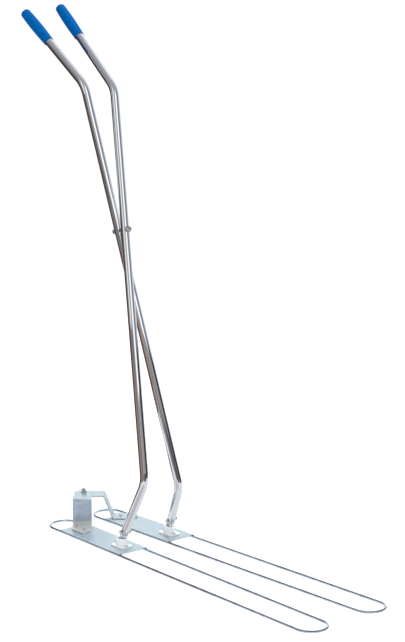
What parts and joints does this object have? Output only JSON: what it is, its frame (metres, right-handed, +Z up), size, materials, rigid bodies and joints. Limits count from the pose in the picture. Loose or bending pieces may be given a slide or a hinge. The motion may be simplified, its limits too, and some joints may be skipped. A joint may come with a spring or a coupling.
{
  "type": "long-handled scissor lifting tongs",
  "caption": "Upright hand tongs: two crossed bent tube handles open and close two flat wire-loop jaws that fold about a rear pivot on the ground.",
  "frame": {"origin": "middle of the whole footprint, on the ground under the wire loops", "axes": "+Z up, -Y forward along the jaws, +X to the user's left"},
  "size_m": [0.273, 1.1646, 1.355],
  "materials": {
    "wire": "bright zinc-plated round wire",
    "sheet": "zinc-plated steel sheet with faint spangle",
    "weld": "heat-browned weld beads",
    "fastener": "bright zinc-plated fasteners",
    "pin_steel": "turned steel bar",
    "tube": "polished chrome plate",
    "nylon": "moulded white nylon",
    "grip": "soft blue vinyl"
  },
  "bodies": {
    "right_jaw": {"right_wire_loop": "wire", "right_deck_plate": "sheet", "right_plate_welds": "weld", "tower_bracket": "sheet", "tower_screws": "fastener", "tower_nuts": "fastener", "right_collar": "nylon", "right_collar_screws": "fastener", "right_collar_nuts": "fastener", "jaw_pivot_bolt": "fastener", "jaw_pivot_washers": "fastener", "jaw_pivot_nut": "fastener"},
    "left_jaw": {"left_wire_loop": "wire", "left_deck_plate": "sheet", "left_plate_welds": "weld", "arm_bracket": "sheet", "arm_screws": "fastener", "arm_nuts": "fastener", "left_collar": "nylon", "left_collar_screws": "fastener", "left_collar_nuts": "fastener"},
    "right_swivel": {"right_swivel_pin": "pin_steel", "right_swivel_washer": "fastener", "right_swivel_clip": "fastener"},
    "left_swivel": {"left_swivel_pin": "pin_steel", "left_swivel_washer": "fastener", "left_swivel_clip": "fastener"},
    "right_handle": {"right_handle_tube": "tube", "right_grip": "grip", "right_cross_bolt": "fastener", "right_cross_washers": "fastener", "right_cross_nut": "fastener"},
    "left_handle": {"left_handle_tube": "tube", "left_grip": "grip", "left_cross_bolt": "fastener", "left_cross_washers": "fastener", "left_cross_nut": "fastener", "scissor_bolt": "fastener", "scissor_spacer": "fastener", "scissor_washers": "fastener", "scissor_nut": "fastener"}
  },
  "joints": [
    {"name": "jaw_pivot", "type": "hinge", "parent": "right_jaw", "child": "left_jaw", "pos_m": [0, 0.42333, 0.0725], "axis": [0, 0, 1], "range_deg": [-5.6, 24]},
    {"name": "right_swivel_turn", "type": "hinge", "parent": "right_jaw", "child": "right_swivel", "pos_m": [-0.07822, 0.16198, 0.012], "axis": [0, 0, 1], "range_deg": [-3, 12.5]},
    {"name": "left_swivel_turn", "type": "hinge", "parent": "left_jaw", "child": "left_swivel", "pos_m": [0.07822, 0.16198, 0.012], "axis": [0, 0, 1], "range_deg": [-12.5, 3]},
    {"name": "right_handle_rock", "type": "hinge", "parent": "right_swivel", "child": "right_handle", "pos_m": [-0.07575, 0.15099, 0.04854], "axis": [0, 0.9726, -0.2323], "range_deg": [-1.1, 4.3]},
    {"name": "left_handle_rock", "type": "hinge", "parent": "left_swivel", "child": "left_handle", "pos_m": [0.07575, 0.15099, 0.04854], "axis": [0, -0.9726, 0.2323], "range_deg": [-1.1, 4.3]}
  ],
  "couplings": [
    {"joint": "right_swivel_turn", "follows": "jaw_pivot", "ratio": 0.5},
    {"joint": "left_swivel_turn", "follows": "jaw_pivot", "ratio": -0.5},
    {"joint": "right_handle_rock", "follows": "jaw_pivot", "ratio": 0.168},
    {"joint": "left_handle_rock", "follows": "jaw_pivot", "ratio": 0.168}
  ]
}
